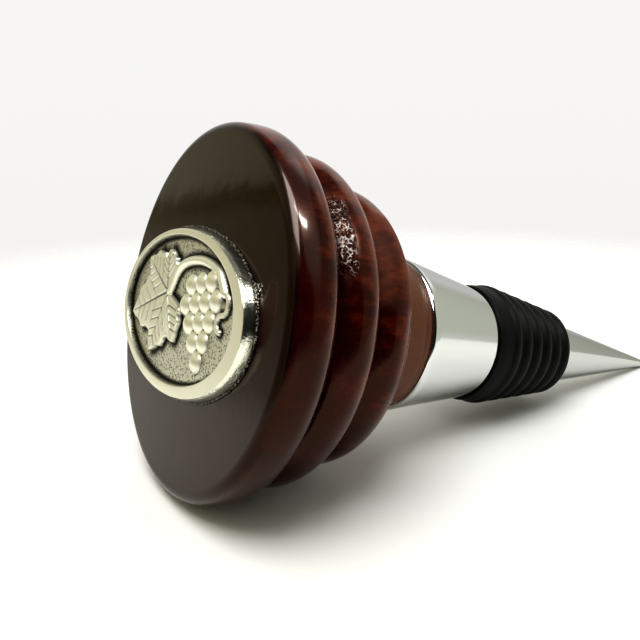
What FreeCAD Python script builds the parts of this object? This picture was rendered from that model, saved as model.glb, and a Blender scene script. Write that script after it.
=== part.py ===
import FreeCAD, Part
import math
import os

# Wine stopper: a turned wooden head with a cast medallion on its face, held by a hidden stud to a
# plated metal cone that carries a ribbed rubber sleeve.
# It lies on its side, as it comes to rest: the rim of the largest disc and the point touch the ground.
# Lengths are in millimetres. Distances along the stopper start at the flat wooden face and grow
# towards the point; radii are measured from the stopper's own axis.

# Wooden head: three discs with rounded edges and a short collar, turned from one piece
disc_1_radius = 28.5
disc_1_thickness = 8.3
disc_1_side_bulge = 0.35
face_corner_radius = 1.85
disc_2_radius = 26.0
disc_2_thickness = 8.6
disc_3_radius = 22.5
disc_3_thickness = 8.6
collar_root_radius = 14.1
collar_root_fillet = 0.9
collar_end_radius = 12.95
collar_length = 10.1
# Depth of the small flat worn into the rim of the largest disc, on which the head lies
rest_flat_depth = 0.06

# Plated metal cone: shoulder, seat of the sleeve, point
shoulder_radius = 13.35
shoulder_rounding = 0.75
cone_end_radius = 10.15
cone_length = 18.3
seat_start_radius = 8.0
seat_end_radius = 5.9
seat_length = 21.5
point_base_radius = 6.5
point_length = 33.4
point_tip_radius = 0.85

# Rubber sleeve: a wide bevelled flange, then a row of shallow ribs
sleeve_lip_height = 0.4
flange_crest_radius = 11.1
flange_length = 4.2
rib_count = 5
last_rib_radius = 8.45
rib_half_width = 0.95
rib_shoulder_drop = 0.3
rib_groove_depth = 0.75
sleeve_end_rounding = 1.1

# Stud between head and cone, its thread drawn as a plain cylinder of the outer diameter
stud_radius = 4.75
stud_depth_in_head = 12.0
stud_depth_in_cone = 12.0
stud_end_chamfer = 0.8
stud_hole_clearance = 0.05
stud_end_clearance = 0.4

# Cast oval medallion glued to the face
medallion_half_width = 22.1
medallion_half_height = 12.5
medallion_shift = (-2.2, -0.9)
medallion_thickness = 1.9
medallion_side_bevel = 0.5
pocket_half_width = 19.95
pocket_half_height = 11.25
pocket_shift = (-0.9, 0.3)
pocket_slope = 0.4
field_depth = 1.0
medallion_roll = -6.0

# Relief of the medallion: a vine leaf, a bunch of grapes, a stem and a tendril.
# Across and up are measured from the middle of the oval, seen from the front.
leaf_height = 0.9
leaf_base = (-4.5, 2.5)
leaf_direction = 200.0
leaf_lobes = ((0, 14.6, 4.8), (47, 11.0, 4.3), (-47, 10.4, 4.2), (100, 8.6, 3.8), (-100, 6.9, 3.4))
lobe_shape = ((0.30, 0.62), (0.52, 1.0), (0.60, 0.76), (0.74, 0.74), (0.79, 0.46), (0.88, 0.30))
vein_width = 0.5
vein_depth = 0.4
vein_share = 0.9
grape_radius = 2.2
grape_spacing = 3.3
grape_row_step = 2.85
grape_rows = (3, 4, 3, 2, 1)
grape_sink = 1.25
bunch_top = (6.2, 5.0)
bunch_lean = 10.0
stem_radius = 0.75
stem_points = ((-4.5, 2.5), (-1.4, 6.8), (4.8, 8.2), (11.0, 7.3), (14.2, 4.4))
tendril_width = 0.9
tendril_height = 0.5
tendril_curls = (1.5, 1.2)


def turned(edges):
    """Solid of revolution about the stopper's axis from a closed list of edges."""
    face = Part.Face(Part.Wire(edges))
    return face.revolve(FreeCAD.Vector(0, 0, 0), FreeCAD.Vector(1, 0, 0), 360)


def at(along, radius):
    """A point of a turned profile."""
    return FreeCAD.Vector(along, radius, 0)


def line(a, b):
    return Part.LineSegment(at(*a), at(*b)).toShape()


def arc(a, middle, b):
    return Part.Arc(at(*a), at(*middle), at(*b)).toShape()


def round_point(centre, radius, degrees):
    """A point on a circle in the profile; 90 degrees is outwards and 0 is towards the tip."""
    angle = math.radians(degrees)
    return (centre[0] + radius * math.cos(angle), centre[1] + radius * math.sin(angle))


def round_edge(centre, radius, start, end):
    """An arc of a profile between two angles in degrees."""
    middle = (start + end) / 2
    return arc(*(round_point(centre, radius, angle) for angle in (start, middle, end)))


# Places along the stopper
disc_1_end = disc_1_thickness
disc_2_end = disc_1_end + disc_2_thickness
disc_3_end = disc_2_end + disc_3_thickness
head_end = disc_3_end + collar_length
cone_end = head_end + cone_length
seat_end = cone_end + seat_length
tip_centre = seat_end + point_length

# The largest disc is rounded towards the point over half of its thickness
disc_1_round = disc_1_thickness / 2
disc_1_round_centre = (disc_1_end - disc_1_round, disc_1_radius - disc_1_round)


def wood_head():
    """Disc profile with rounded edges, sharp grooves between the discs, collar and stud hole."""
    front_radius = disc_1_radius - disc_1_side_bulge
    corner = (face_corner_radius, front_radius - face_corner_radius)
    crown = (disc_1_round_centre[0], disc_1_radius)
    half_way = ((corner[0] + crown[0]) / 2, disc_1_radius - disc_1_side_bulge / 4)
    edges = [line((0, 0), (0, corner[1])),
             round_edge(corner, face_corner_radius, 180, 90),
             arc((corner[0], front_radius), half_way, crown),
             round_edge(disc_1_round_centre, disc_1_round, 90, 0)]
    inner = (disc_1_end, disc_1_radius - disc_1_round)
    for radius, thickness, end in ((disc_2_radius, disc_2_thickness, disc_2_end),
                                   (disc_3_radius, disc_3_thickness, disc_3_end)):
        half = thickness / 2
        centre = (end - half, radius - half)
        edges.append(line(inner, (end - thickness, centre[1])))
        edges.append(round_edge(centre, half, 180, 0))
        inner = (end, centre[1])
    fillet = (disc_3_end + collar_root_fillet, collar_root_radius + collar_root_fillet)
    edges.append(line(inner, (disc_3_end, fillet[1])))
    edges.append(round_edge(fillet, collar_root_fillet, 180, 270))
    edges.append(line((fillet[0], collar_root_radius), (head_end, collar_end_radius)))
    hole = stud_radius + stud_hole_clearance
    hole_start = head_end - stud_depth_in_head - stud_end_clearance
    edges.append(line((head_end, collar_end_radius), (head_end, hole)))
    edges.append(line((head_end, hole), (hole_start, hole)))
    edges.append(line((hole_start, hole), (hole_start, 0)))
    edges.append(line((hole_start, 0), (0, 0)))
    return turned(edges)


def point_tangent():
    """Where the point's straight side meets its rounded tip."""
    reach = math.hypot(point_length, point_base_radius)
    half_angle = math.atan2(point_base_radius, point_length) - math.asin(point_tip_radius / reach)
    return round_point((tip_centre, 0), point_tip_radius, 90 - math.degrees(half_angle))


def stopper_body():
    """Cone with a rounded shoulder, a recessed seat for the sleeve, a point and a stud hole."""
    hole = stud_radius + stud_hole_clearance
    hole_end = head_end + stud_depth_in_cone + stud_end_clearance
    shoulder = (head_end + shoulder_rounding, shoulder_radius - shoulder_rounding)
    tangent = point_tangent()
    tip = (tip_centre + point_tip_radius, 0)
    half_way = math.degrees(math.atan2(tangent[1], tangent[0] - tip_centre)) / 2
    edges = [line((hole_end, 0), (hole_end, hole)),
             line((hole_end, hole), (head_end, hole)),
             line((head_end, hole), (head_end, shoulder[1])),
             round_edge(shoulder, shoulder_rounding, 180, 90),
             line((shoulder[0], shoulder_radius), (cone_end, cone_end_radius)),
             line((cone_end, cone_end_radius), (cone_end, seat_start_radius)),
             line((cone_end, seat_start_radius), (seat_end, seat_end_radius)),
             line((seat_end, seat_end_radius), (seat_end, point_base_radius)),
             line((seat_end, point_base_radius), tangent),
             arc(tangent, round_point((tip_centre, 0), point_tip_radius, half_way), tip),
             line(tip, (hole_end, 0))]
    return turned(edges)


def sealing_sleeve():
    """Sleeve on the seat: bevelled flange, ribs of falling radius, rounded end."""
    rib_start = cone_end + flange_length
    rib_room = seat_end - sleeve_end_rounding - rib_start
    pitch = rib_room / rib_count
    fall = (flange_crest_radius - last_rib_radius) / rib_count

    def rib(index):
        return rib_start + index * pitch, flange_crest_radius - index * fall

    lip = (cone_end, cone_end_radius + sleeve_lip_height)
    crest, radius = rib(0)
    before = (crest - rib_half_width, radius - rib_shoulder_drop)
    edges = [line((cone_end, seat_start_radius), lip), line(lip, before)]
    for index in range(rib_count):
        crest, radius = rib(index)
        after = (crest + rib_half_width, radius - rib_shoulder_drop)
        edges.append(arc(before, (crest, radius), after))
        next_crest, next_radius = rib(index + 1)
        before = (next_crest - rib_half_width, next_radius - rib_shoulder_drop)
        valley = ((crest + next_crest) / 2, (radius + next_radius) / 2 - rib_groove_depth)
        edges.append(arc(after, valley, before))
    crest, radius = rib(rib_count)
    edges.append(arc(before, (crest - rib_half_width / 2, radius - rib_shoulder_drop / 4), (crest, radius)))
    end_round = (crest, radius - sleeve_end_rounding)
    edges.append(round_edge(end_round, sleeve_end_rounding, 90, 0))
    edges.append(line((seat_end, end_round[1]), (seat_end, seat_end_radius)))
    edges.append(line((seat_end, seat_end_radius), (cone_end, seat_start_radius)))
    return turned(edges)


def threaded_stud():
    """Plain stud with chamfered ends, half in the head and half in the cone."""
    start = head_end - stud_depth_in_head
    end = head_end + stud_depth_in_cone
    rim = stud_radius - stud_end_chamfer
    corners = [(start, 0), (start, rim), (start + stud_end_chamfer, stud_radius),
               (end - stud_end_chamfer, stud_radius), (end, rim), (end, 0)]
    edges = [line(a, b) for a, b in zip(corners, corners[1:] + corners[:1])]
    return turned(edges)


# The medallion is drawn flat, its back on height 0 and its face up, and then turned onto the head
def oval(half_width, half_height, height, shift=(0, 0)):
    middle = FreeCAD.Vector(shift[0], shift[1], height)
    return Part.Wire(Part.Ellipse(middle + FreeCAD.Vector(half_width, 0, 0),
                                  middle + FreeCAD.Vector(0, half_height, 0), middle).toShape())


def oval_plate(half_width, half_height, inset_low, low, inset_high, high, shift=(0, 0)):
    """Solid between two ovals, each set in from an oval of the given half sizes."""
    wires = [oval(half_width - inset, half_height - inset, height, shift)
             for inset, height in ((inset_low, low), (inset_high, high))]
    return Part.makeLoft(wires, True, True)


field_height = medallion_thickness - field_depth


def polar(origin, radius, degrees):
    angle = math.radians(degrees)
    return (origin[0] + radius * math.cos(angle), origin[1] + radius * math.sin(angle))


def lobe_outline(turn, length, half_width):
    """Outline of one lobe from the leaf's base: a swelling, two teeth on each side, and the tip."""
    def place(along, aside):
        radius = math.hypot(along * length, aside * half_width)
        angle = math.degrees(math.atan2(aside * half_width, along * length))
        return polar(leaf_base, radius, leaf_direction + turn + angle)

    one_side = [place(along, aside) for along, aside in lobe_shape]
    other_side = [place(along, -aside) for along, aside in reversed(lobe_shape)]
    return [leaf_base] + one_side + [place(1, 0)] + other_side


def prism(points, low, height):
    corners = [FreeCAD.Vector(across, up, low) for across, up in points]
    face = Part.Face(Part.makePolygon(corners + corners[:1]))
    return face.extrude(FreeCAD.Vector(0, 0, height))


def rod(a, b, radius, height):
    """Round bar with ball ends, its axis level at the given height."""
    start, end = FreeCAD.Vector(a[0], a[1], height), FreeCAD.Vector(b[0], b[1], height)
    along = end - start
    bar = Part.makeCylinder(radius, along.Length, start, along)
    return [bar, Part.makeSphere(radius, end)]


def leaf():
    """Raised leaf of joined lobes with a vein cut along each lobe."""
    low = field_height - vein_depth
    lobes = [prism(lobe_outline(*lobe), low, leaf_height + vein_depth) for lobe in leaf_lobes]
    blade = lobes[0].fuse(lobes[1:])
    top = field_height + leaf_height
    for turn, length, _ in leaf_lobes:
        half = vein_width / 2
        end = polar(leaf_base, length * vein_share, leaf_direction + turn)
        left = polar(leaf_base, half, leaf_direction + turn + 90)
        right = polar(leaf_base, half, leaf_direction + turn - 90)
        blade = blade.cut(prism([left, end, right], top - vein_depth, 2 * vein_depth))
    return [blade]


def grapes():
    """Rows of balls sunk in the field, each row a step further down the leaning bunch."""
    balls = []
    for row, count in enumerate(grape_rows):
        middle = polar(bunch_top, row * grape_row_step, bunch_lean - 90)
        for place in range(count):
            offset = (place - (count - 1) / 2) * grape_spacing
            across, up = polar(middle, offset, bunch_lean)
            centre = FreeCAD.Vector(across, up, field_height - grape_sink)
            balls.append(Part.makeSphere(grape_radius, centre))
    return balls


def stem_and_tendril():
    """Stem of straight bars, and a flat tendril that runs down in half turns that grow smaller."""
    pieces = []
    for a, b in zip(stem_points, stem_points[1:]):
        pieces += rod(a, b, stem_radius, field_height)
    across, up = stem_points[-1]
    side = 1
    half = tendril_width / 2
    low = field_height - tendril_height
    for radius in tendril_curls:
        centre = FreeCAD.Vector(across, up - radius, low)
        outer = Part.makeCylinder(radius + half, 2 * tendril_height, centre)
        ring = outer.cut(Part.makeCylinder(radius - half, 2 * tendril_height, centre))
        reach = 2 * radius
        corner = FreeCAD.Vector(across if side > 0 else across - reach, centre.y - reach, 0)
        keep = Part.makeBox(reach, 2 * reach, medallion_thickness, corner)
        pieces.append(ring.common(keep))
        up -= 2 * radius
        side = -side
    return pieces


def medallion():
    """Oval plate with a bevelled side, a polished ring, a sunk field and the relief, one casting.
    The pocket is smaller than the plate by more at the sides, and a little off its middle."""
    plate = oval_plate(medallion_half_width, medallion_half_height, -medallion_side_bevel, 0,
                       0, medallion_thickness)
    pocket = oval_plate(pocket_half_width, pocket_half_height, pocket_slope, field_height,
                        0, medallion_thickness, pocket_shift)
    inside = oval_plate(pocket_half_width, pocket_half_height, 0, 0, 0, medallion_thickness,
                        pocket_shift)
    relief = leaf() + grapes() + stem_and_tendril()
    relief = relief[0].fuse(relief[1:]).common(inside)
    casting = plate.cut(pocket).fuse(relief).removeSplitter()
    onto_face = FreeCAD.Matrix(0, 0, -1, 0,
                               -1, 0, 0, 0,
                               0, 1, 0, 0,
                               0, 0, 0, 1)
    casting.Placement = FreeCAD.Placement(onto_face)
    casting.rotate(FreeCAD.Vector(0, 0, 0), FreeCAD.Vector(1, 0, 0), medallion_roll)
    casting.translate(FreeCAD.Vector(0, -medallion_shift[0], medallion_shift[1]))
    return casting


def laid_on_ground(shapes):
    """Tilts the axis until disc rim and tip touch the ground, and centres the whole on the origin."""
    along = tip_centre - disc_1_round_centre[0]
    down = disc_1_round_centre[1]
    reach = math.hypot(along, down)
    tilt = math.atan2(down, along) + math.asin((disc_1_round - point_tip_radius) / reach)
    rim_depth = disc_1_round_centre[0] * math.sin(tilt) + down * math.cos(tilt) + disc_1_round
    for shape in shapes.values():
        shape.rotate(FreeCAD.Vector(0, 0, 0), FreeCAD.Vector(0, 1, 0), math.degrees(tilt))
    box = Part.makeCompound(list(shapes.values())).optimalBoundingBox(False, False)
    middle = (box.XMin + box.XMax) / 2
    for shape in shapes.values():
        shape.translate(FreeCAD.Vector(-middle, 0, rim_depth))
    reach = 3 * disc_1_radius
    above = Part.makeBox(2 * reach, 2 * reach, reach, FreeCAD.Vector(-reach, -reach, rest_flat_depth))
    shapes["wood_head"] = shapes["wood_head"].common(above).Solids[0]
    return tilt


nodes = {"wood_head": wood_head(), "medallion": medallion(), "stopper_body": stopper_body(),
         "sealing_sleeve": sealing_sleeve(), "threaded_stud": threaded_stud()}
tilt = laid_on_ground(nodes)

os.makedirs("parts", exist_ok=True)
length = tip_centre + point_tip_radius + medallion_thickness
print("tilt", round(math.degrees(tilt), 3), "length", round(length, 2))
for name, shape in nodes.items():
    solids = shape.Solids
    box = shape.BoundBox
    print(name, "solids", len(solids), "valid", shape.isValid(), "volume", round(shape.Volume, 1),
          "x", round(box.XMin, 2), round(box.XMax, 2), "z", round(box.ZMin, 2), round(box.ZMax, 2))
    shape.exportStep("parts/" + name + ".step")
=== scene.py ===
import math

import bpy
import numpy as np
from mathutils import Matrix


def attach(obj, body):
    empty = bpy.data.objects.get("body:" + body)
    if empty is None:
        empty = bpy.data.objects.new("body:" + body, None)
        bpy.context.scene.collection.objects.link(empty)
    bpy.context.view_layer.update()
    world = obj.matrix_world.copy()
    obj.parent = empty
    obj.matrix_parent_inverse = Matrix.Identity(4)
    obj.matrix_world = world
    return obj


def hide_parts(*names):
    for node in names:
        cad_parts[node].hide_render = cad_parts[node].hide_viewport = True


bl_info = {
    "name": "Wine Stopper",
    "version": (1, 0, 0),
    "blender": (4, 5, 0),
    "location": "3D View > Sidebar > Wine Stopper",
    "description": "Builds a turned wine stopper with a cast medallion, and the stage it is shown on",
    "category": "Add Mesh",
}

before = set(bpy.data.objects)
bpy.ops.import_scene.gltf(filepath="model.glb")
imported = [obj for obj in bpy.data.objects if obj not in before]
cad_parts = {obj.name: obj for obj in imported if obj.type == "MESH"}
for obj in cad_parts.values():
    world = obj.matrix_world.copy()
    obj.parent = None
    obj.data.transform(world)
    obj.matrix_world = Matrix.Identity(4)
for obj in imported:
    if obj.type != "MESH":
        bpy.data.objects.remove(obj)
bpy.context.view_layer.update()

MM = 0.001
BODY = "root"

# The stud's blind hole, the same in head and cone, and the radii of the seat, the same in cone and sleeve
HOLE_RADIUS, HOLE_DEPTH = 0.0048, 0.0124
SEAT_START, SEAT_END = 0.0080, 0.0059

# Directions out from the axis, and a place, as along_axis gives them
WORN_SHOULDER = (0.0, -0.755, 0.656)
# Where the painted glints on the worn shoulder lie thickest
DENSEST_GLINTS = (0.0, -0.79, 0.613)
# Middle of the painted shade on the face, beside the medallion
PAINTED_SHADE_MIDDLE = (0.0, -0.0218, 0.0050)

# The drop of glue beside the medallion: its place, and its angle and width round the oval in radians
GLUE_DROP_MIDDLE = (-0.0478, -0.0202, 0.0356)
GLUE_DROP_ANGLE, GLUE_DROP_WIDTH = 0.43, 0.06

# Stage: rings, spokes and reach of the ground, the added share of light that diffuse rays see, and the
# point that the lamps face from one distance
GROUND_RINGS, GROUND_SPOKES, GROUND_REACH = 24, 96, 1.4
SOFT_FILL = 0.86
LAMP_TARGET, LAMP_DISTANCE = np.array([-0.02, 0.0, 0.02]), 0.9
CAMERA_PLACE = (-0.09230, -0.10750, 0.06161)
CAMERA_RIGHT = np.array([0.85696, -0.51545, 0.0])
CAMERA_UP = np.array([0.14870, 0.24719, 0.95750])


# Sizes and colours that a user would change

def length_of(name, description, default):
    """A property that holds a length."""
    return bpy.props.FloatProperty(name=name, description=description, default=default,
                                   unit="LENGTH", precision=6)


def colour_of(name, description, default):
    """A property that holds a colour."""
    return bpy.props.FloatVectorProperty(name=name, description=description, default=default,
                                         subtype="COLOR")


class StopperPlace(bpy.types.PropertyGroup):
    """Where the stopper's axis lies: the middle of the flat wooden face, and how far the axis dips."""
    face_x: length_of("Face X", "Place of the wooden face's middle along X", -0.049603)
    face_z: length_of("Face height", "Height of the wooden face's middle above the ground", 0.028750)
    dip: bpy.props.FloatProperty(
        name="Dip", description="Angle by which the axis falls towards the point",
        default=math.radians(14.8587), subtype="ANGLE")


class HeadSizes(bpy.types.PropertyGroup):
    """Sizes of the turned wooden head."""
    radius_1: length_of("Disc 1 radius", "Radius of the largest disc", 0.0285)
    thickness_1: length_of("Disc 1 thickness", "Thickness of the largest disc", 0.0083)
    radius_2: length_of("Disc 2 radius", "Radius of the middle disc", 0.026)
    thickness_2: length_of("Disc 2 thickness", "Thickness of the middle disc", 0.0086)
    radius_3: length_of("Disc 3 radius", "Radius of the smallest disc", 0.0225)
    thickness_3: length_of("Disc 3 thickness", "Thickness of the smallest disc", 0.0086)
    collar_root: length_of("Collar root radius", "Radius of the collar where it leaves the discs", 0.0141)
    collar_end: length_of("Collar end radius", "Radius of the collar at the metal", 0.01295)
    collar_length: length_of("Collar length", "Length of the collar", 0.0101)


class ConeSizes(bpy.types.PropertyGroup):
    """Sizes of the plated metal cone."""
    shoulder_radius: length_of("Shoulder radius", "Radius of the cone at the wood", 0.01335)
    end_radius: length_of("End radius", "Radius of the cone at the sleeve", 0.01015)
    length: length_of("Cone length", "Length of the plain cone", 0.0183)
    seat_length: length_of("Seat length", "Length covered by the sleeve", 0.0215)
    point_radius: length_of("Point radius", "Radius of the point at the sleeve", 0.0065)
    point_length: length_of("Point length", "Length of the point up to the middle of its tip", 0.0334)
    tip_radius: length_of("Tip radius", "Radius of the rounded tip", 0.00085)


class SleeveSizes(bpy.types.PropertyGroup):
    """Sizes of the rubber sleeve."""
    crest_radius: length_of("Flange radius", "Radius of the first crest", 0.0111)
    flange_length: length_of("Flange length", "Length of the bevelled flange", 0.0042)
    last_radius: length_of("Last crest radius", "Radius of the last crest", 0.00845)
    ribs: bpy.props.IntProperty(
        name="Ribs", description="Number of ribs after the flange", default=5, min=1, max=12)


class MedallionSizes(bpy.types.PropertyGroup):
    """Sizes of the cast oval medallion."""
    half_width: length_of("Half width", "Half of the oval's longer side", 0.0221)
    half_height: length_of("Half height", "Half of the oval's shorter side", 0.0125)
    thickness: length_of("Thickness", "Thickness of the medallion over its ring", 0.0019)
    side_bevel: length_of("Side bevel", "How much wider the back is than the front, on each side", 0.0005)
    shift: bpy.props.FloatVectorProperty(
        name="Shift", description="Place of the oval's middle across and up on the wooden face",
        size=2, default=(-0.0022, -0.0009), unit="LENGTH")
    pocket_width: length_of("Pocket half width", "Half of the pocket's longer side", 0.01995)
    pocket_height: length_of("Pocket half height", "Half of the pocket's shorter side", 0.01125)
    pocket_shift: bpy.props.FloatVectorProperty(
        name="Pocket shift", description="Place of the pocket's middle in the oval",
        size=2, default=(-0.0009, 0.0003), unit="LENGTH")
    field_depth: length_of("Field depth", "How far the stippled field lies below the ring", 0.0010)
    roll: bpy.props.FloatProperty(
        name="Roll", description="Turn of the medallion on the wooden face",
        default=math.radians(6.0), subtype="ANGLE")


class FinishColours(bpy.types.PropertyGroup):
    """Colours of the finishes."""
    wood_dark: colour_of("Dark wood", "Colour of the wood's dark grain", (0.012, 0.0004, 0.0006))
    wood_light: colour_of("Light wood", "Colour of the wood's red grain", (0.068, 0.0024, 0.0020))
    # Colour of the orange figure, used also for painted light and reflection on the wood
    wood_figure_and_painted_light: colour_of("Glowing wood", "Colour of the wood's orange figure", (0.152, 0.0300, 0.0090))
    collar: colour_of("Collar wood", "Colour of the thinly lacquered collar", (0.125, 0.050, 0.029))
    pewter: colour_of("Pewter", "Colour of the polished pewter", (0.88, 0.87, 0.74))
    # Also the colour of the painted reflection low on the medallion's side
    oxide: colour_of("Oxide", "Colour of the dark recesses in the pewter", (0.022, 0.018, 0.010))
    chrome: colour_of("Chrome", "Colour of the chrome plating", (0.735, 0.745, 0.735))
    rubber: colour_of("Rubber", "Colour of the rubber", (0.0032, 0.0036, 0.0030))


class StageSettings(bpy.types.PropertyGroup):
    """The pale ground, the light and the surroundings."""
    ground: colour_of("Ground", "Colour of the ground", (0.90, 0.90, 0.885))
    ground_radius: length_of("Ground radius", "Radius at which the ground has faded out", 0.23)
    lamp_power: bpy.props.FloatProperty(
        name="Lamp power", description="Power of the lamp overhead", default=4.9, unit="POWER")
    lens: bpy.props.FloatProperty(
        name="Lens", description="Focal length of the camera", default=45.0, unit="CAMERA")


def sizes(name):
    return getattr(bpy.context.scene, name)


def head_lengths():
    """Length of the three discs together, and of the head with its collar."""
    head = sizes("head_sizes")
    discs = head.thickness_1 + head.thickness_2 + head.thickness_3
    return discs, discs + head.collar_length


# Grids of points

def add_mesh(name, points, faces):
    """A smooth shaded mesh object at the origin, from an array of points and a list of faces."""
    mesh = bpy.data.meshes.new(name)
    mesh.from_pydata(points.tolist(), [], faces)
    mesh.polygons.foreach_set("use_smooth", np.ones(len(mesh.polygons), bool))
    mesh.update()
    piece = bpy.data.objects.new(name, mesh)
    bpy.context.scene.collection.objects.link(piece)
    return piece


def ring_quads(rows, columns, closed=False):
    """Quads between rings of points; where closed, the last ring also meets the first.
    Point number = row * columns + column."""
    count = rows if closed else rows - 1
    row, column = np.meshgrid(np.arange(count), np.arange(columns), indexing="ij")
    below, beside = (row + 1) % rows, (column + 1) % columns
    return np.stack([row * columns + column, below * columns + column,
                     below * columns + beside, row * columns + beside], -1).reshape(-1, 4).tolist()


def fan(pole, first, columns):
    """Triangles from a pole to a ring of points that starts at the number first."""
    return [(pole, first + column, first + (column + 1) % columns) for column in range(columns)]


def capped_faces(rows, columns):
    """Quads between open rings and a fan at each end; the two poles come after the rings' points."""
    poles = rows * columns
    end = [(pole, b, a) for pole, a, b in fan(poles + 1, (rows - 1) * columns, columns)]
    return ring_quads(rows, columns) + fan(poles, 0, columns) + end


def axis_frame():
    """The face's middle, and the axis, the upward and the across directions as unit vectors."""
    place = sizes("stopper_place")
    dip = place.dip
    face = np.array([place.face_x, 0.0, place.face_z])
    axis = np.array([math.cos(dip), 0.0, -math.sin(dip)])
    up = np.array([math.sin(dip), 0.0, math.cos(dip)])
    across = np.array([0.0, -1.0, 0.0])
    return face, axis, up, across


def round_angles(count):
    """Evenly spaced angles round a full turn."""
    return np.linspace(0, 2 * math.pi, count, endpoint=False)


def spun(profile, segments):
    """Rings of points: the one at distance s along the axis and radius r, turned by angle a, is
    face + s * axis + r * (cos a * up + sin a * across)."""
    face, axis, up, across = axis_frame()
    angle = round_angles(segments)[:, None]
    spoke = np.cos(angle) * up + np.sin(angle) * across
    return (face + profile[:, 0, None, None] * axis + profile[:, 1, None, None] * spoke).reshape(-1, 3)


def turned(name, profile, segments):
    """Surface of revolution whose profile runs from pole to pole."""
    points = np.vstack([spun(profile[1:-1], segments), spun(profile[[0, -1]], 1)])
    return add_mesh(name, points, capped_faces(len(profile) - 2, segments))


def arc(centre, radius, start, end, steps):
    """Points on a circle between two angles in degrees; 90 is outwards and 0 is towards the tip."""
    angle = np.radians(np.linspace(start, end, steps))
    return np.stack([centre[0] + radius * np.cos(angle), centre[1] + radius * np.sin(angle)], 1)


def arc_through(a, b, c, steps):
    """The arc through three points, its centre being on both perpendicular bisectors."""
    a, b, c = np.array([a, b, c])
    centre = np.linalg.solve([b - a, c - b], [(b - a) @ (a + b) / 2, (c - b) @ (b + c) / 2])
    turn = np.degrees(np.unwrap([math.atan2(*(p - centre)[::-1]) for p in (a, b, c)]))
    return arc(centre, np.linalg.norm(a - centre), turn[0], turn[2], steps)


def eased(corners, easing=0.00012, steps=4):
    """A polyline with each inner corner cut by a small round: the quadratic curve
    (1-t)^2 * before + 2t(1-t) * corner + t^2 * after, with before and after a short way off the corner.
    A point further out on each side keeps the flats flat."""
    corners = np.array(corners, float)
    result = [corners[:1]]
    t = np.linspace(0, 1, steps)[:, None]
    for before, corner, after in zip(corners[:-2], corners[1:-1], corners[2:]):
        back, ahead = before - corner, after - corner
        back_length, ahead_length = np.linalg.norm(back), np.linalg.norm(ahead)
        cut = min(easing, back_length * 0.3, ahead_length * 0.3)
        back, ahead = back / back_length, ahead / ahead_length
        low, high = corner + back * cut, corner + ahead * cut
        curve = (1 - t) ** 2 * low + 2 * t * (1 - t) * corner + t ** 2 * high
        result += [corner + back * cut * 1.5, curve, corner + ahead * cut * 1.5]
    result.append(corners[-1:])
    return np.vstack(result)


def run(start, end, steps):
    """Evenly spaced points on a straight run, without its ends."""
    t = np.linspace(0, 1, steps + 2)[1:-1, None]
    return np.array(start) * (1 - t) + np.array(end) * t


# Shader expressions

class Signal:
    """One output of a node. Sums, products and the like of signals add Math nodes to its tree."""

    def __init__(self, tree, output=None):
        self.tree = tree
        self.output = output

    def node(self, kind, settings=None, inputs=None, output=0):
        """Adds a node of any kind, applies its settings, fills its sockets, and returns one output."""
        node = self.tree.nodes.new(kind)
        for name, value in (settings or {}).items():
            setattr(node, name, value)
        for name, value in (inputs or {}).items():
            if isinstance(value, Signal):
                self.tree.links.new(value.output, node.inputs[name])
            else:
                node.inputs[name].default_value = value
        return Signal(self.tree, node.outputs[output])

    def math(self, operation, *values):
        return self.node("ShaderNodeMath", {"operation": operation}, dict(enumerate(values)))

    def __add__(self, other):
        return self.math("ADD", self, other)

    __radd__ = __add__

    def __sub__(self, other):
        return self.math("SUBTRACT", self, other)

    def __rsub__(self, other):
        return self.math("SUBTRACT", other, self)

    def __mul__(self, other):
        return self.math("MULTIPLY", self, other)

    __rmul__ = __mul__

    def __truediv__(self, other):
        return self.math("DIVIDE", self, other)

    def between(self, low, high):
        """0 below low, 1 above high, smooth in between; low may be the larger."""
        return self.node("ShaderNodeMapRange", {"interpolation_type": "SMOOTHSTEP"},
                         {"Value": self, "From Min": low, "From Max": high})

    def mix(self, low, high):
        """Mixes two colours, this signal being the share of the second."""
        return self.node("ShaderNodeMix", {"data_type": "RGBA"}, {0: self, 6: low, 7: high}, 2)

    def vector(self, operation, output, *others):
        """A Vector Math node; output 0 is a vector and 1 is a number."""
        return self.node("ShaderNodeVectorMath", {"operation": operation},
                         dict(enumerate((self,) + others)), output)

    def scaled(self, x, y, z):
        """A vector times three numbers."""
        return self.vector("MULTIPLY", 0, (x, y, z))

    def away_from(self, point):
        """This vector less a point."""
        return self.vector("SUBTRACT", 0, point)

    def dot(self, direction):
        return self.vector("DOT_PRODUCT", 1, direction)

    def length(self):
        return self.vector("LENGTH", 1)

    def cells(self, scale, randomness, feature="F1"):
        """Voronoi cells at this vector: the distance to the nearest cell's middle or edge."""
        return self.node("ShaderNodeTexVoronoi", {"feature": feature},
                         {"Vector": self, "Scale": scale, "Randomness": randomness})

    def noise(self, scale, detail=3.0, roughness=0.5, distortion=0.0):
        """Noise in 0..1 at this vector."""
        return self.node("ShaderNodeTexNoise", None,
                         {"Vector": self, "Scale": scale, "Detail": detail, "Roughness": roughness,
                          "Distortion": distortion})

    def bump(self, distance, strength=1.0, onto=None):
        """Normal bent by this height in 0..1 times a distance in metres, on top of another normal."""
        inputs = {"Height": self, "Distance": distance, "Strength": strength}
        if onto is not None:
            inputs["Normal"] = onto
        return self.node("ShaderNodeBump", None, inputs)


def rgba(colour, brightness=1.0):
    return tuple(channel * brightness for channel in colour) + (1.0,)


def new_material(name, settings):
    """A material with one Principled shader. Returns it, its shader node and a signal to start from."""
    material = bpy.data.materials.new(name)
    material.use_nodes = True
    tree = material.node_tree
    tree.nodes.clear()
    shader = tree.nodes.new("ShaderNodeBsdfPrincipled")
    for socket, value in settings.items():
        shader.inputs[socket].default_value = value
    output = tree.nodes.new("ShaderNodeOutputMaterial")
    tree.links.new(shader.outputs[0], output.inputs["Surface"])
    return material, shader, Signal(tree)


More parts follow.
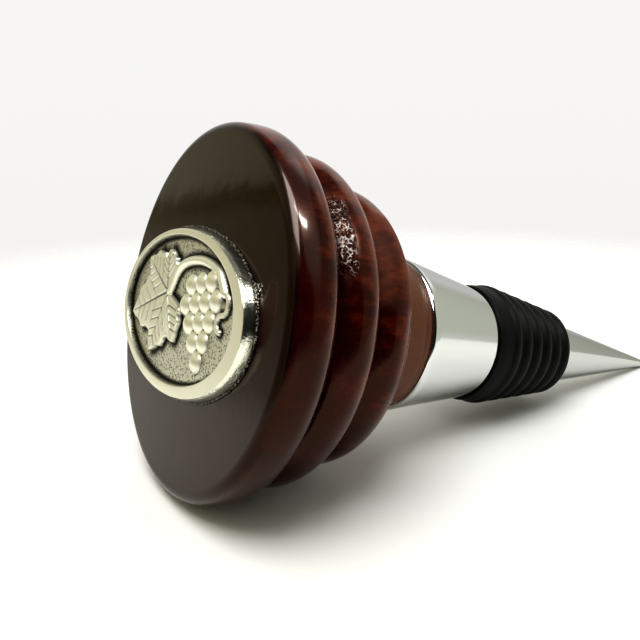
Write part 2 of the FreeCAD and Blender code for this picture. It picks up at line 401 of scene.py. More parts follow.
def feed(shader, **signals):
    """Links signals to the sockets that vary over a surface; base_color stands for Base Color."""
    for name, signal in signals.items():
        socket = shader.inputs[name.replace("_", " ").title()]
        signal.tree.links.new(signal.output, socket)


def object_place(start):
    """Object coordinates, the same as the world's because every piece sits at the origin."""
    return start.node("ShaderNodeTexCoord", output="Object")


def along_axis(start):
    """Object coordinates moved to the wooden face and turned so that X runs along the stopper."""
    place = sizes("stopper_place")
    return start.node("ShaderNodeMapping", {"vector_type": "TEXTURE"},
                      {"Vector": object_place(start), "Location": (place.face_x, 0.0, place.face_z),
                       "Rotation": (0.0, place.dip, 0.0)})


def lacquered_wood():
    """Dark red wood under clear lacquer: grain along the axis, an orange figure, and pores. The wood is
    painted lighter and more orange at the top and towards the point (painted light from above) and on the
    far half of each rim (painted light and reflection from the bright room on that side). The collar's
    lacquer is thin and dull, and the face is almost black, with one dark red patch of painted shade beside
    the medallion. The worn shoulder has pits behind disc 1 with pale chips among them that are painted
    highlight, standing in for the glints of the pits, dulled rims beside them, and the thickest and
    softest lacquer on disc 1 itself."""
    colours, head = sizes("finish_colours"), sizes("head_sizes")
    material, shader, start = new_material("lacquered_wood", {
        "Specular IOR Level": 0.40, "Specular Tint": rgba((1.0, 0.67, 0.48)), "Coat Roughness": 0.09})
    place = along_axis(start)
    x = place.dot((1.0, 0.0, 0.0))
    radius = place.scaled(0.0, 1.0, 1.0).length()
    groove_1 = head.thickness_1
    groove_2 = head.thickness_1 + head.thickness_2
    discs, _ = head_lengths()
    collar = x.between(discs + 0.0002, discs + 0.0012)
    face = x.between(0.0012, 0.0002)

    # Colour of the wood, with painted light at the top, towards the point and on the far half of each rim
    wander = place.scaled(200.0, 340.0, 340.0).noise(1.0, 4.0, 0.6)
    streaks = place.scaled(160.0, 2600.0, 2600.0).noise(1.0, 4.0, 0.6, 0.6)
    pores = place.scaled(420.0, 5200.0, 5200.0).noise(1.0, 2.0, 0.5).between(0.60, 0.72)
    figure = place.scaled(420.0, 620.0, 620.0).noise(1.0, 3.0, 0.6)
    # Painted light: the wood is lighter higher up and towards the point, as if lit from above
    painted_top_light = place.dot((0.8, 0.25, 0.97)) * 8.0
    grain_and_top_light = 0.07 + wander.between(0.26, 0.80) * 0.50 + streaks.between(0.30, 0.75) * 0.13 + painted_top_light
    disc_count = (x + (head.thickness_2 - head.thickness_1)) / head.thickness_2
    # Painted light and reflection: the half of each rim towards the point, facing the bright room, turns
    # orange
    painted_rim_light = disc_count.math("FRACT", disc_count).between(0.48, 0.80)
    figure_and_painted_light = (grain_and_top_light + painted_top_light + figure * 0.4 + painted_rim_light * 0.34).between(0.70, 1.35)
    wood = grain_and_top_light.mix(rgba(colours.wood_dark), rgba(colours.wood_light))
    wood = figure_and_painted_light.mix(wood, rgba(colours.wood_figure_and_painted_light))
    wood = (pores * 0.4).mix(wood, rgba(colours.wood_dark, 0.6))
    collar_wood = (0.4 + streaks * 0.9).mix(rgba(colours.collar, 0.6), rgba(colours.collar, 1.25))
    face_wood = grain_and_top_light.mix(rgba(colours.wood_dark, 0.5), rgba((0.009, 0.006, 0.003)))
    base = collar.mix(face.mix(wood, face_wood), collar_wood)

    # Wear of the shoulder, with painted highlight among its pits, and painted shade on the face beside the
    # medallion
    facing = place.dot(WORN_SHOULDER) / radius
    past_groove = x - groove_1
    slope = past_groove.between(0.0008, 0.0016) * past_groove.between(0.0034, 0.0026)
    patch = slope * facing.between(0.964, 0.990)
    pits = place.noise(2300.0, 2.0, 0.6).between(0.42, 0.60) * patch
    densest = (place.dot(DENSEST_GLINTS) / radius).between(0.986, 0.9985)
    edges = place.cells(1500.0, 1.0, "DISTANCE_TO_EDGE") - densest * 0.06
    clusters = (place.noise(1300.0, 2.0, 0.5) + densest * 0.05).between(0.50, 0.60)
    # Painted highlight: pale chips in the worn patch that stand in for the glints of its pits
    painted_glints = edges.between(0.10, 0.03) * patch * clusters
    base = (painted_glints * 0.95).mix(base, rgba((0.90, 0.86, 0.83)))
    disc_2 = past_groove.between(0.0004, 0.0016)
    disc_3 = x.between(groove_2 - 0.0002, groove_2 + 0.0004)
    dulled = facing.between(0.90, 0.96) * (1.0 - collar) * (1.0 - patch) * (disc_2 * 0.22 + disc_3 * 0.34)
    # Painted shade: a dark red, rougher patch on the face beside the medallion
    shade_distance = place.away_from(PAINTED_SHADE_MIDDLE).scaled(0.0, 1.5, 0.62).length()
    ragged = place.noise(900.0, 2.0, 0.5) * 0.0012
    painted_shade = (shade_distance + ragged).between(0.0038, 0.0026) * face
    base = painted_shade.mix(base, rgba((0.016, 0.0006, 0.0008)))
    soft = facing.between(0.92, 0.97) * x.between(0.0040, 0.0032) * x.between(0.00001, 0.00012)
    thick_coat = soft * x.between(0.00015, 0.00070)

    specks = place.noise(2600.0, 1.0, 0.5).between(0.66, 0.74)
    normal = place.noise(170.0, 2.0, 0.5).bump(0.00003)
    normal = specks.bump(0.000006, 0.5, normal)
    normal = pits.bump(0.00030, 1.0, normal)
    rough = 0.04 + collar * 0.42 + face * 0.05 + dulled + painted_shade * 0.5 + soft * 0.22
    feed(shader, base_color=base, roughness=rough, normal=normal, coat_weight=thick_coat * 0.8)
    return material


def chrome_plate():
    """Bright chrome with faint smears from handling, a little darker on the point: painted shade that dims
    its reflection.
    """
    colours = sizes("finish_colours")
    material, shader, start = new_material("chrome_plate", {
        "Metallic": 1.0, "Specular Tint": rgba((0.7, 0.7, 0.7))})
    place = along_axis(start)
    point = place.dot((1.0, 0.0, 0.0)).between(0.066, 0.080)
    smears = place.scaled(60.0, 150.0, 150.0).noise(1.0, 4.0, 0.6, 0.8)
    polish = place.scaled(5200.0, 300.0, 300.0).noise(1.0, 2.0, 0.5)
    # Painted shade: the point's chrome is darkened so that it reflects less
    base = point.mix(rgba(colours.chrome), rgba(colours.chrome, 0.84))
    feed(shader, base_color=base, roughness=0.045 + smears.between(0.45, 0.8) * 0.06,
         normal=polish.bump(0.0000012))
    return material


def black_rubber():
    """Matt black moulded rubber with a fine skin, a little greyer in patches."""
    colours = sizes("finish_colours")
    material, shader, start = new_material("black_rubber", {"Specular IOR Level": 0.22})
    place = along_axis(start)
    skin = place.noise(5200.0, 3.0, 0.6)
    patches = place.noise(420.0, 3.0, 0.6)
    base = patches.between(0.35, 0.7).mix(rgba(colours.rubber, 0.8), rgba(colours.rubber, 1.5))
    feed(shader, base_color=base, roughness=0.42 + patches * 0.18, normal=skin.bump(0.000012))
    return material


def cast_pewter():
    """Pale pewter: satin ring and relief, a bright side, a stippled field, and dark oxide in the recesses.
    The lower part of the side is darkened too, a painted reflection of the dark wood. The piece's own
    attributes say how deep in a hollow a point lies, how dark the side is painted low down, and where
    field and side are."""
    colours = sizes("finish_colours")
    material, shader, start = new_material("cast_pewter", {"Metallic": 1.0})
    place = object_place(start)
    oxide_and_side_reflection, field, side = (
        start.node("ShaderNodeAttribute", {"attribute_name": name}, output="Fac")
        for name in ("oxide_and_side_reflection", "field", "side"))
    dimples = place.cells(2500.0, 0.9).between(0.44, 0.22)
    blotches = place.noise(900.0, 3.0, 0.6)
    scratches = place.noise(2600.0, 2.0, 0.6)
    waves = place.noise(520.0, 3.0, 0.6)
    metal = (field * 0.25).mix(rgba(colours.pewter), rgba(colours.pewter, 0.10))
    dark = oxide_and_side_reflection + field * dimples * 0.8
    dark = dark.math("MINIMUM", dark, 1.0)
    base = dark.mix(metal, rgba(colours.oxide))
    rough = 0.36 - side * 0.24 + dark * 0.14 + blotches * 0.08
    normal = scratches.bump(0.000006)
    normal = (waves * side).bump(0.00013, 1.0, normal)
    normal = (dimples * field).bump(0.00005, 1.0, normal)
    feed(shader, base_color=base, roughness=rough, normal=normal)
    return material


def stud_steel():
    """Bright zinc-coloured steel of the hidden stud, with turning marks."""
    material, shader, start = new_material("stud_steel", {"Metallic": 1.0})
    place = along_axis(start)
    marks = place.scaled(6000.0, 40.0, 40.0).noise(1.0, 2.0, 0.5)
    base = marks.mix(rgba((0.42, 0.42, 0.41)), rgba((0.60, 0.60, 0.58)))
    feed(shader, base_color=base, roughness=0.25 + marks * 0.15, normal=marks.bump(0.00001))
    return material


def clear_glue():
    """Yellowed clear glue round the medallion, with pale bubbles, most of them in the drop; the bubbles
    also stand in for its glints, painted highlight.
    """
    material, shader, start = new_material("clear_glue", {"Specular IOR Level": 0.25})
    place = object_place(start)
    grit = place.noise(3800.0, 3.0, 0.6)
    drop = place.away_from(GLUE_DROP_MIDDLE).length().between(0.0034, 0.0018)
    bubbles_and_glints = place.noise(3400.0, 1.0, 0.5).between(0.52, 0.62) * (0.3 + drop * 0.7)
    base = grit.between(0.45, 0.75).mix(rgba((0.010, 0.003, 0.002)), rgba((0.06, 0.045, 0.03)))
    # Pale bubbles, partly painted highlight where the glue glints
    base = bubbles_and_glints.mix(base, rgba((0.85, 0.82, 0.72)))
    feed(shader, base_color=base, roughness=0.15 + grit * 0.2, normal=grit.bump(0.00020))
    return material


def finish(piece, material, slot, *nodes):
    """Gives a piece its material and body, and hides the nodes that it stands for. The slot is not used.
    """
    piece.data.materials.append(material)
    if nodes:
        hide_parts(*nodes)
    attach(piece, BODY)


class STOPPER_OT_head(bpy.types.Operator):
    """Wooden head: three discs with rounded rims, the grooves between them, and the collar"""
    bl_idname = "stopper.head"
    bl_label = "Wooden head"

    def execute(self, context):
        head = context.scene.head_sizes
        rows = [self.first_disc(head)]
        start = head.thickness_1
        for radius, thickness in ((head.radius_2, head.thickness_2), (head.radius_3, head.thickness_3)):
            half = thickness / 2
            rows.append(arc((start + half, radius - half), half, 180, 0, 44))
            start += thickness
        fillet = 0.0009
        rows.append(arc((start + fillet, head.collar_root + fillet), fillet, 180, 270, 8))
        end = start + head.collar_length
        rows.append(run((start + fillet, head.collar_root), (end, head.collar_end), 8))
        bottom = end - HOLE_DEPTH
        rows.append(eased([(end - 0.001, head.collar_end + 0.0001), (end, head.collar_end),
                           (end, HOLE_RADIUS), (bottom, HOLE_RADIUS), (bottom, 0.0004)]))
        rows.append([(bottom, 0.0)])
        piece = turned("wood_head_turned", np.vstack(rows), 320)
        finish(piece, lacquered_wood(), "lacquered_wood", "wood_head")
        return {"FINISHED"}

    def first_disc(self, head):
        """Flat face, a corner, a side of large radius and a half round, each tangent to the next.
        The corner touches the face at 180 degrees and the side at side_start."""
        side_radius, side_start = 0.0153, 100.0
        half = head.thickness_1 / 2
        side = arc((half, head.radius_1 - side_radius), side_radius, side_start, 90, 9)
        corner = side[0, 0] / (1 + math.cos(math.radians(side_start)))
        face_radius = side[0, 1] - corner * math.sin(math.radians(side_start))
        flat = [(0.0, face_radius * share) for share in (0.0, 0.2, 0.5, 0.8)]
        return np.vstack([flat, [(0.0, face_radius - 0.0002)],
                          arc((corner, face_radius), corner, 180, side_start, 22), side[1:-1],
                          arc((half, head.radius_1 - half), half, 90, 0, 26)])


class STOPPER_OT_cone(bpy.types.Operator):
    """Plated cone with a rounded shoulder, the seat of the sleeve, and the point"""
    bl_idname = "stopper.cone"
    bl_label = "Metal cone"

    def execute(self, context):
        cone = context.scene.cone_sizes
        _, start = head_lengths()
        rounding = 0.00075
        cone_end = start + cone.length
        seat_end = cone_end + cone.seat_length
        tip = seat_end + cone.point_length
        hole_end = start + HOLE_DEPTH
        point_start = (seat_end + 0.0005, cone.point_radius - 0.0001)
        rows = [[(hole_end, 0.0)],
                eased([(hole_end, 0.0004), (hole_end, HOLE_RADIUS), (start, HOLE_RADIUS),
                       (start, cone.shoulder_radius - rounding - 0.0003)]),
                arc((start + rounding, cone.shoulder_radius - rounding), rounding, 180, 90, 12),
                run((start + rounding, cone.shoulder_radius), (cone_end, cone.end_radius), 12),
                eased([(cone_end - 0.0004, cone.end_radius + 0.00007), (cone_end, cone.end_radius),
                       (cone_end, SEAT_START), (seat_end, SEAT_END), (seat_end, cone.point_radius),
                       point_start], 0.0001)]
        reach = math.hypot(cone.point_length, cone.point_radius)
        slope = math.atan2(cone.point_radius, cone.point_length) - math.asin(cone.tip_radius / reach)
        rows.append(run(point_start, (tip + cone.tip_radius * math.sin(slope),
                                      cone.tip_radius * math.cos(slope)), 14))
        rows.append(arc((tip, 0.0), cone.tip_radius, 90 - math.degrees(slope), 6, 10))
        rows.append([(tip + cone.tip_radius, 0.0)])
        piece = turned("metal_cone", np.vstack(rows), 256)
        finish(piece, chrome_plate(), "chrome_plate", "stopper_body")
        return {"FINISHED"}


class STOPPER_OT_sleeve(bpy.types.Operator):
    """Rubber sleeve with a bevelled flange and shallow ribs of falling radius"""
    bl_idname = "stopper.sleeve"
    bl_label = "Rubber sleeve"

    def execute(self, context):
        cone, sleeve = context.scene.cone_sizes, context.scene.sleeve_sizes
        _, head_end = head_lengths()
        start = head_end + cone.length
        end = start + cone.seat_length
        end_round = 0.0011
        pitch = (end - end_round - start - sleeve.flange_length) / sleeve.ribs
        fall = (sleeve.crest_radius - sleeve.last_radius) / sleeve.ribs
        # Half width of a crest's arc, how far its ends fall, and how deep the valleys are
        half, drop, depth = 0.00095, 0.0003, 0.00075
        lip, flange_start = (start, cone.end_radius + 0.0004), (start + 0.0012, cone.end_radius + 0.0006)
        first = start + sleeve.flange_length

        rows = [[(start + 0.002, SEAT_START + 0.00002)], [(start + 0.0004, SEAT_START)]]
        before = (first - half, sleeve.crest_radius - drop)
        rows.append(eased([(start, SEAT_START + 0.0002), lip, flange_start], 0.0001))
        rows.append(run(flange_start, before, 4))
        for index in range(sleeve.ribs):
            crest, radius = first + index * pitch, sleeve.crest_radius - index * fall
            after = (crest + half, radius - drop)
            rows.append(arc_through(before, (crest, radius), after, 12))
            following = (crest + pitch - half, radius - fall - drop)
            valley = (crest + pitch / 2, radius - fall / 2 - depth)
            rows.append(arc_through(after, valley, following, 12)[1:-1])
            before = following
        crest, radius = first + sleeve.ribs * pitch, sleeve.last_radius
        rows.append(arc_through(before, (crest - half / 2, radius - drop / 4), (crest, radius), 6))
        rows.append(arc((crest, radius - end_round), end_round, 90, 0, 12)[1:])
        rows.append(eased([(end, 0.0068), (end, SEAT_END), (end - 0.002, 0.0061)], 0.0001))
        # The profile's last point meets its first, so there is no pole
        profile, segments = np.vstack(rows), 256
        faces = ring_quads(len(profile), segments, True)
        piece = add_mesh("rubber_sleeve", spun(profile, segments), faces)
        finish(piece, black_rubber(), "black_rubber", "sealing_sleeve")
        return {"FINISHED"}


# Relief of the medallion, drawn flat in millimetres across and up from the middle of the oval

LEAF_BASE = np.array([-4.5, 2.5])
LEAF_DIRECTION = 200.0
LEAF_LOBES = ((0, 14.6, 4.8), (47, 11.0, 4.3), (-47, 10.4, 4.2), (100, 8.6, 3.8), (-100, 6.9, 3.4))
LOBE_SHAPE = np.array([(0.30, 0.62), (0.52, 1.0), (0.60, 0.76), (0.74, 0.74), (0.79, 0.46), (0.88, 0.30)])
GRAPE_ROWS = (3, 4, 3, 2, 1)
BUNCH_TOP = np.array([6.2, 5.0])
BUNCH_LEAN = 10.0
GRAPE_RADIUS, GRAPE_SINK = 2.2, 1.25
GRAPE_SPACING, ROW_STEP = 3.3, 2.85
CORNER_CUT = 0.18
STEM_RADIUS = 0.75
STEM = np.array([(-4.5, 2.5), (-1.4, 6.8), (4.8, 8.2), (11.0, 7.3), (14.2, 4.4)])
TENDRIL_CURLS = (1.5, 1.2)


def heading(degrees):
    angle = math.radians(degrees)
    return np.array([math.cos(angle), math.sin(angle)])


def distance_to_lines(points, corners):
    """Distance from each point to the nearest of the straight runs between corners."""
    best = np.full(len(points), 1e9)
    for a, b in zip(corners[:-1], corners[1:]):
        run_vector = b - a
        share = np.clip((points - a) @ run_vector / max(run_vector @ run_vector, 1e-12), 0, 1)
        best = np.minimum(best, np.linalg.norm(points - a - share[:, None] * run_vector, axis=1))
    return best


def inside(points, corners):
    """Whether each point lies in a closed outline: it crosses an odd number of edges to its right."""
    x, y = points.T
    result = np.zeros(len(points), bool)
    for (ax, ay), (bx, by) in zip(corners, np.roll(corners, -1, 0)):
        crosses = (ay > y) != (by > y)
        with np.errstate(divide="ignore", invalid="ignore"):
            result ^= crosses & (x < (bx - ax) * (y - ay) / (by - ay) + ax)
    return result


def softened(corners, rounds=2):
    """Cuts every corner of a closed outline twice over, at CORNER_CUT of the edge on each side of it."""
    for _ in range(rounds):
        following = np.roll(corners, -1, 0)
        step = CORNER_CUT * (following - corners)
        corners = np.stack([corners + step, following - step], 1).reshape(-1, 2)
    return corners


def smoothstep(value, low, high):
    t = np.clip((value - low) / (high - low), 0, 1)
    return t * t * (3 - 2 * t)


def leaf_relief(points):
    """Height of the leaf over the field: depth inside the union of its lobes, rounded at the edge,
    a slight crown, and grooves along the veins. Returns height, groove and depth inside."""
    depth = np.full(len(points), -1e9)
    groove = np.zeros(len(points))
    for turn, length, half_width in LEAF_LOBES:
        forward = heading(LEAF_DIRECTION + turn)
        aside = np.array([-forward[1], forward[0]])
        middle = LEAF_BASE + LOBE_SHAPE[:, :1] * length * forward
        swell = LOBE_SHAPE[:, 1:] * half_width * aside
        outline = softened(np.vstack([LEAF_BASE, middle + swell, LEAF_BASE + length * forward,
                                      (middle - swell)[::-1]]))
        edge = distance_to_lines(points, np.vstack([outline, outline[:1]]))
        depth = np.maximum(depth, np.where(inside(points, outline), edge, -edge))
        along = (points - LEAF_BASE) @ forward
        off = np.abs((points - LEAF_BASE) @ aside)
        width = 0.30 * np.clip(1 - along / (length * 0.93), 0, 1) ** 0.5 + 0.02
        main = np.clip(1 - off / width, 0, 1) * (along > 0) * (along < length * 0.93)
        groove = np.maximum(groove, main)
        for share in (0.26, 0.42, 0.58, 0.72):
            begin = LEAF_BASE + forward * length * share
            for side in (-1, 1):
                tip = begin + (forward * 0.62 + aside * side * 0.78) * half_width * (1.15 - share)
                near = distance_to_lines(points, np.array([begin, tip]))
                groove = np.maximum(groove, 0.75 * np.clip(1 - near / 0.17, 0, 1))
    body = smoothstep(depth, -0.06, 0.20)
    groove *= body
    crown = 0.10 * np.clip(depth / 1.6, 0, 1)
    return 0.80 * body + crown - 0.36 * groove, groove, depth


def grape_relief(points):
    """Height of the bunch: the highest of balls sunk in the field, sqrt(r^2 - d^2) less the sinking."""
    height = np.zeros(len(points))
    down, beside = heading(BUNCH_LEAN - 90), heading(BUNCH_LEAN)
    for row, count in enumerate(GRAPE_ROWS):
        middle = BUNCH_TOP + down * row * ROW_STEP
        for place in range(count):
            centre = middle + beside * (place - (count - 1) / 2) * GRAPE_SPACING
            square = ((points - centre) ** 2).sum(1)
            ball = np.sqrt(np.clip(GRAPE_RADIUS ** 2 - square, 0, None)) - GRAPE_SINK
            height = np.maximum(height, ball)
    return height


def through(corners, steps=10):
    """A smooth line through all corners, by the Catmull-Rom cubic between each pair."""
    padded = np.vstack([2 * corners[0] - corners[1], corners, 2 * corners[-1] - corners[-2]])
    t = np.linspace(0, 1, steps, endpoint=False)[:, None]
    rows = []
    for a, b, c, d in zip(padded[:-3], padded[1:-2], padded[2:-1], padded[3:]):
        rows.append(0.5 * (2 * b + (c - a) * t + (2 * a - 5 * b + 4 * c - d) * t ** 2
                           + (3 * b - a - 3 * c + d) * t ** 3))
    return np.vstack(rows + [corners[-1:]])


def tendril_line():
    """Centre line of the tendril: it runs down in half circles of falling radius on alternate sides."""
    across, up = STEM[-1]
    side, rows = 1, []
    for radius in TENDRIL_CURLS:
        angle = np.radians(np.linspace(90, -90, 17))
        rows.append(np.stack([across + side * radius * np.cos(angle),
                              up - radius + radius * np.sin(angle)], 1))
        up -= 2 * radius
        side = -side
    return np.vstack(rows)


def medallion_relief(points):
    """Height over the field in millimetres at flat points, and how dark with oxide each one is."""
    leaf, groove, leaf_depth = leaf_relief(points)
    grapes = grape_relief(points)
    to_stem = distance_to_lines(points, through(STEM))
    stem = np.sqrt(np.clip(STEM_RADIUS ** 2 - to_stem ** 2, 0, None)) * 1.1
    to_tendril = distance_to_lines(points, tendril_line())
    tendril = 0.5 * smoothstep(to_tendril, 0.50, 0.28)
    height = np.maximum.reduce([leaf, grapes, stem, tendril, np.zeros(len(points))])
    grape_edge = smoothstep(grapes, 0.30, 0.0) * (grapes > 0)
    near = np.maximum.reduce([smoothstep(-leaf_depth, 1.5, 0.15) * (leaf_depth < 0.05),
                              smoothstep(to_stem, 1.9, 0.8),
                              smoothstep(to_tendril, 1.3, 0.5)])
    low = smoothstep(height, 0.36, 0.10)
    return height, np.clip(np.maximum.reduce([near * low, groove, grape_edge * 0.9]), 0, 1)


class STOPPER_OT_medallion(bpy.types.Operator):
    """Cast oval medallion with its bevelled side, polished ring, stippled field and vine relief"""
    bl_idname = "stopper.medallion"
    bl_label = "Medallion"

    def execute(self, context):
        size = context.scene.medallion_sizes
        thick = size.thickness
        field = thick - size.field_depth
        bevel, slope, corner = size.side_bevel, 0.0004, 0.00018
        columns = 520
        angle = round_angles(columns)
        # Inset from the front outline and height, from the back's middle up the side to the ring
        rim = np.vstack([
            [(0.004, 0.0), (0.0006 - bevel, 0.0)],
            eased([(-bevel + 0.0003, 0.0), (-bevel, 0.00002), (-bevel * 0.55, thick * 0.52),
                   (-bevel * 0.30, thick * 0.80)], 0.0001),
            arc((corner, thick - corner), corner, 170, 90, 7)])
        # Inset from the pocket's edge and height, from the ring down to the field
        wall = eased([(-0.0002, thick), (0.0, thick - 0.00003), (slope, field),
                      (slope + 0.0006, field)], 0.0002)
        outer = self.oval_rows(angle, size.half_width, size.half_height, (0.0, 0.0), rim[:, 0])
        inner = self.oval_rows(angle, size.pocket_width, size.pocket_height, size.pocket_shift,
                               wall[:, 0])
        share = np.linspace(0, 1, 8)[1:-1, None, None]
        band = outer[-1] * (1 - share) + inner[0] * share
        middle = np.array(size.pocket_shift)
        share = np.linspace(1, 0, 142)[1:-1, None, None]
        floor = middle + (inner[-1] - middle) * share
        height = np.hstack([rim[:, 1], np.full(len(band), thick), wall[:, 1], np.full(len(floor), field)])
        depth = np.hstack([np.full(len(rim) + len(band), -1.0), wall[:, 0], np.full(len(floor), 1.0)])
        rows = len(height)
        row = np.arange(rows).repeat(columns)
        height, depth = height.repeat(columns), depth.repeat(columns)
        flat = np.vstack([outer, band, inner, floor]).reshape(-1, 2)
        relief, oxide_and_side_reflection = medallion_relief(flat / MM)
        pocket = depth > 0
        height = np.where(pocket, np.maximum(height, field + relief * MM), height)
        wall_dirt = np.clip(1.2 - np.abs(depth - slope) / 0.00045, 0, 1) * (relief < 0.3)
        oxide_and_side_reflection = np.where(pocket, np.maximum(oxide_and_side_reflection, wall_dirt), 0)
        # Painted reflection of the dark wood: the side is darker towards its bottom
        painted_side_reflection = np.clip(1.15 - height / (thick * 0.5), 0, 0.9)
        oxide_and_side_reflection = np.where(row < len(rim), painted_side_reflection, oxide_and_side_reflection)
        is_field = pocket & (depth > slope * 0.7) & (relief < 0.03)
        side = row < len(rim) - 2
        points = self.onto_face(flat, height)
        top, _ = medallion_relief(middle[None] / MM)
        poles = self.onto_face(np.array([(0.0, 0.0), middle]), np.array([0.0, field + top[0] * MM]))
        piece = add_mesh("vine_medallion", np.vstack([points, poles]), capped_faces(rows, columns))
        for name, values in (("oxide_and_side_reflection", oxide_and_side_reflection), ("field", is_field), ("side", side)):
            attribute = piece.data.attributes.new(name, "FLOAT", "POINT")
            attribute.data.foreach_set("value", np.append(values, [0.0, 0.0]).astype(np.float32))
        finish(piece, cast_pewter(), "cast_pewter", "medallion")
        self.glue_line(size.half_width + bevel, size.half_height + bevel)
        return {"FINISHED"}

    def oval_rows(self, angle, wide, high, shift, insets):
        """Rows of points round an oval, each set in along the oval's own outward direction:
        shift + (wide * cos a, high * sin a) - inset * outward."""
        outline = np.stack([wide * np.cos(angle), high * np.sin(angle)], 1) + np.array(shift)
        outward = np.stack([high * np.cos(angle), wide * np.sin(angle)], 1)
        outward /= np.linalg.norm(outward, axis=1)[:, None]
        return outline - np.array(insets)[:, None, None] * outward

    def onto_face(self, flat, height):
        """Flat place and height: turned by the roll and shifted, then
        face - height * axis + a * across + u * up."""
        size = sizes("medallion_sizes")
        face, axis, up, across = axis_frame()
        cos, sin = math.cos(size.roll), math.sin(size.roll)
        sideways = flat[:, 0] * cos - flat[:, 1] * sin + size.shift[0]
        upward = flat[:, 0] * sin + flat[:, 1] * cos + size.shift[1]
        return face - height[:, None] * axis + sideways[:, None] * across + upward[:, None] * up

    def glue_line(self, wide, high):
        """An uneven fillet of glue round the medallion: an oval ring of small section."""
        columns = 360
        angle = round_angles(columns)
        draw = np.random.default_rng(7)
        uneven = np.zeros(columns)
        for wave in range(2, 60):
            uneven += np.sin(wave * angle + draw.uniform(0, 6.3)) / wave ** 0.7
        drop = np.exp(-((angle - GLUE_DROP_ANGLE) / GLUE_DROP_WIDTH) ** 2)
        width = 0.00026 + 0.00005 * uneven + 0.0016 * drop
        section = np.array([(-0.00008, 0.00002), (1.0, 0.00002), (0.75, 0.00016), (0.45, 0.00026),
                            (-0.00008, 0.00034)])
        reach = np.where(section[:, 0, None] > 0, section[:, 0, None] * width, section[:, 0, None])
        base, one_out = self.oval_rows(angle, wide, high, (0.0, 0.0), (0.0, -1.0))
        flat = base + reach[..., None] * (one_out - base)
        points = self.onto_face(flat.reshape(-1, 2), section[:, 1].repeat(columns))
        piece = add_mesh("glue_line", points, ring_quads(len(section), columns, True))
        finish(piece, clear_glue(), "lacquered_wood")


class STOPPER_OT_stud(bpy.types.Operator):
    """Gives the hidden stud its finish"""
    bl_idname = "stopper.stud"
    bl_label = "Stud finish"

    def execute(self, context):
        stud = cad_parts["threaded_stud"]
        stud.data.materials.clear()
        stud.data.materials.append(stud_steel())
        return {"FINISHED"}


# Stage: pale ground, surroundings, lamps and camera

def ground_material():
    """Matt pale paper that fades out towards its rim, so that it shows no edge."""
    stage = sizes("stage_settings")
    material, shader, start = new_material("pale_ground", {
        "Roughness": 0.9, "Specular IOR Level": 0.1})
    place = object_place(start)
    fade = place.length().between(stage.ground_radius, stage.ground_radius * 0.5)
    grain = place.noise(900.0, 3.0, 0.6)
    base = grain.mix(rgba(stage.ground, 0.995), rgba(stage.ground, 1.005))
    feed(shader, base_color=base, alpha=fade, normal=grain.bump(0.00002))
    return material


def toward(azimuth, elevation):
    """Unit vector by heading from +X and height above the horizon, in degrees."""
    a, e = math.radians(azimuth), math.radians(elevation)
    return np.array([math.cos(a) * math.cos(e), math.sin(a) * math.cos(e), math.sin(e)])


def surroundings(world):
    """Colour by direction: a pale greenish room that is dark overhead, a white sweep behind the stopper
    and below it, darkness in front, a wall with a dark shelf to the left, and a bright patch behind.
    Diffuse rays see it all brighter, which stands for a wide soft fill."""
    world.use_nodes = True
    tree = world.node_tree
    tree.nodes.clear()
    start = Signal(tree)
    direction = start.node("ShaderNodeTexCoord", output="Generated")
    up = direction.dot((0.0, 0.0, 1.0))

    def around(azimuth, elevation, low, high):
        """1 near a heading and 0 away from it, between two cosines."""
        return direction.dot(tuple(toward(azimuth, elevation))).between(low, high)

    tilted = direction.dot((0.85, 0.0, 1.0))
    shelf = tilted.between(-0.305, -0.290) * tilted.between(-0.258, -0.276)
    wall = tilted.between(-0.275, -0.255).mix(rgba((0.36, 0.33, 0.22)), rgba((0.60, 0.58, 0.43)))
    wall = shelf.mix(wall, rgba((0.20, 0.16, 0.05)))
    behind = around(24, 32, 0.93, 0.985) * up.between(0.32, 0.48)
    colour = up.between(0.58, 0.78).mix(rgba((0.47, 0.48, 0.42)), rgba((0.16, 0.16, 0.155)))
    colour = around(60, 8, 0.72, 0.89).mix(colour, rgba((0.655, 0.65, 0.64)))
    colour = around(-110, 18, 0.65, 0.72).mix(colour, rgba((0.02, 0.02, 0.018)))
    colour = around(150, 4, 0.62, 0.86).mix(colour, wall)
    colour = behind.mix(colour, rgba((0.95, 0.93, 0.91)))
    colour = up.between(0.05, -0.25).mix(colour, rgba((0.64, 0.635, 0.63)))
    soft = start.node("ShaderNodeLightPath", output="Is Diffuse Ray")
    background = start.node("ShaderNodeBackground", None,
                            {"Color": colour, "Strength": 1.0 + soft * SOFT_FILL})
    output = tree.nodes.new("ShaderNodeOutputWorld")
    tree.links.new(background.output, output.inputs["Surface"])


def aim(item, location, x, y):
    """Adds a lamp or camera at a place, its own right and up being two unit vectors."""
    item.location = location
    item.rotation_mode = "QUATERNION"
    item.rotation_quaternion = Matrix(np.stack([x, y, np.cross(x, y)], 1).tolist()).to_quaternion()
    bpy.context.scene.collection.objects.link(item)


def add_lamp(name, azimuth, elevation, size, power, along=(0.0, 0.0, 1.0)):
    """An area lamp that faces the stopper from a direction; its second side lies nearest to along."""
    data = bpy.data.lights.new(name, "AREA")
    data.shape = "RECTANGLE"
    data.size, data.size_y = size
    data.energy = power
    lamp = bpy.data.objects.new(name, data)
    z = toward(azimuth, elevation)
    x = np.cross(along, z)
    x /= np.linalg.norm(x)
    aim(lamp, LAMP_TARGET + z * LAMP_DISTANCE, x, np.cross(z, x))
    return lamp


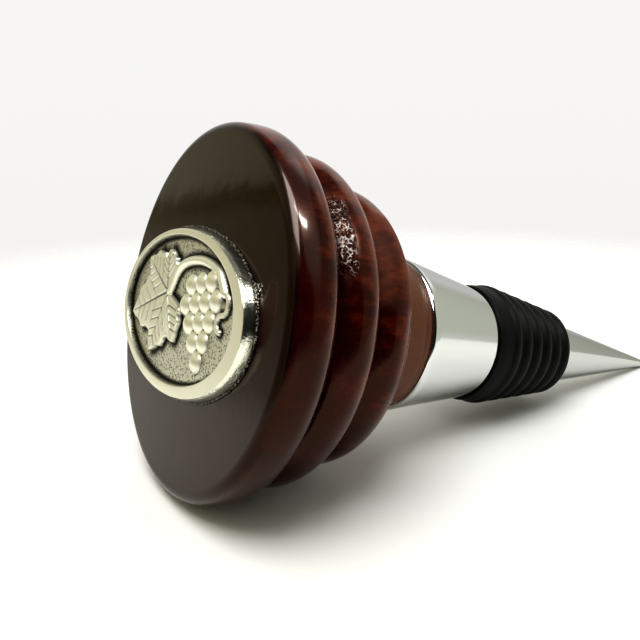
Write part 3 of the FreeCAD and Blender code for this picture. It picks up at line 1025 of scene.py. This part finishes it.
class STOPPER_OT_stage(bpy.types.Operator):
    """Pale ground, surroundings, lamps and the camera"""
    bl_idname = "stopper.stage"
    bl_label = "Stage"

    def execute(self, context):
        scene = context.scene
        stage = scene.stage_settings
        rings = np.linspace(0, 1, GROUND_RINGS + 1)[1:, None] * stage.ground_radius * GROUND_REACH
        angle = round_angles(GROUND_SPOKES)
        points = np.stack([rings * np.cos(angle), rings * np.sin(angle), rings * 0 * angle], -1)
        points = np.vstack([points.reshape(-1, 3), np.zeros(3)])
        ground = add_mesh("ground", points, ring_quads(GROUND_RINGS, GROUND_SPOKES)
                          + fan(GROUND_RINGS * GROUND_SPOKES, 0, GROUND_SPOKES))
        ground.data.materials.append(ground_material())

        world = bpy.data.worlds.new("surroundings")
        scene.world = world
        surroundings(world)
        add_lamp("lamp_overhead", -145, 71, (0.58, 0.58), stage.lamp_power)
        # Two long lamps, seen in reflections only, along a line from near to far
        near, middle, far = toward(-37, 49), toward(-59, 66), toward(-128, 78)
        tube = add_lamp("lamp_tube", -84, 73, (0.06, 0.30), 0.5, middle - far)
        window = add_lamp("lamp_window", -47, 58, (0.08, 0.27), 1.9, near - middle)
        tube.visible_diffuse = window.visible_diffuse = False

        scene.view_settings.view_transform = "Standard"
        scene.view_settings.look = "High Contrast"
        data = bpy.data.cameras.new("camera")
        data.lens = stage.lens
        data.sensor_width = 36.0
        data.clip_start, data.clip_end = 0.005, 20.0
        camera = bpy.data.objects.new("camera", data)
        aim(camera, CAMERA_PLACE, CAMERA_RIGHT, CAMERA_UP)
        scene.camera = camera
        return {"FINISHED"}


class STOPPER_PT_panel(bpy.types.Panel):
    """Lists the stopper's pieces and the sizes that shape them"""
    bl_label = "Wine Stopper"
    bl_idname = "STOPPER_PT_panel"
    bl_space_type = "VIEW_3D"
    bl_region_type = "UI"
    bl_category = "Wine Stopper"

    def draw(self, context):
        for operator in OPERATORS:
            self.layout.operator(operator.bl_idname)
        for name, group in GROUPS.items():
            box = self.layout.box()
            box.label(text=group.__doc__)
            for key in group.__annotations__:
                box.prop(getattr(context.scene, name), key)


GROUPS = {"stopper_place": StopperPlace, "head_sizes": HeadSizes, "cone_sizes": ConeSizes,
          "sleeve_sizes": SleeveSizes, "medallion_sizes": MedallionSizes,
          "finish_colours": FinishColours, "stage_settings": StageSettings}
OPERATORS = (STOPPER_OT_head, STOPPER_OT_cone, STOPPER_OT_sleeve, STOPPER_OT_medallion,
             STOPPER_OT_stud, STOPPER_OT_stage)


def register():
    for group in GROUPS.values():
        bpy.utils.register_class(group)
    for name, group in GROUPS.items():
        setattr(bpy.types.Scene, name, bpy.props.PointerProperty(type=group))
    for operator in OPERATORS:
        bpy.utils.register_class(operator)
    bpy.utils.register_class(STOPPER_PT_panel)


def unregister():
    bpy.utils.unregister_class(STOPPER_PT_panel)
    for operator in reversed(OPERATORS):
        bpy.utils.unregister_class(operator)
    for name in GROUPS:
        delattr(bpy.types.Scene, name)
    for group in reversed(list(GROUPS.values())):
        bpy.utils.unregister_class(group)


def main():
    """Registers the add-on and builds every piece."""
    register()
    bpy.ops.stopper.head()
    bpy.ops.stopper.cone()
    bpy.ops.stopper.sleeve()
    bpy.ops.stopper.medallion()
    bpy.ops.stopper.stud()
    bpy.ops.stopper.stage()
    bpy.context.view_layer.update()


if __name__ == "__main__":
    main()
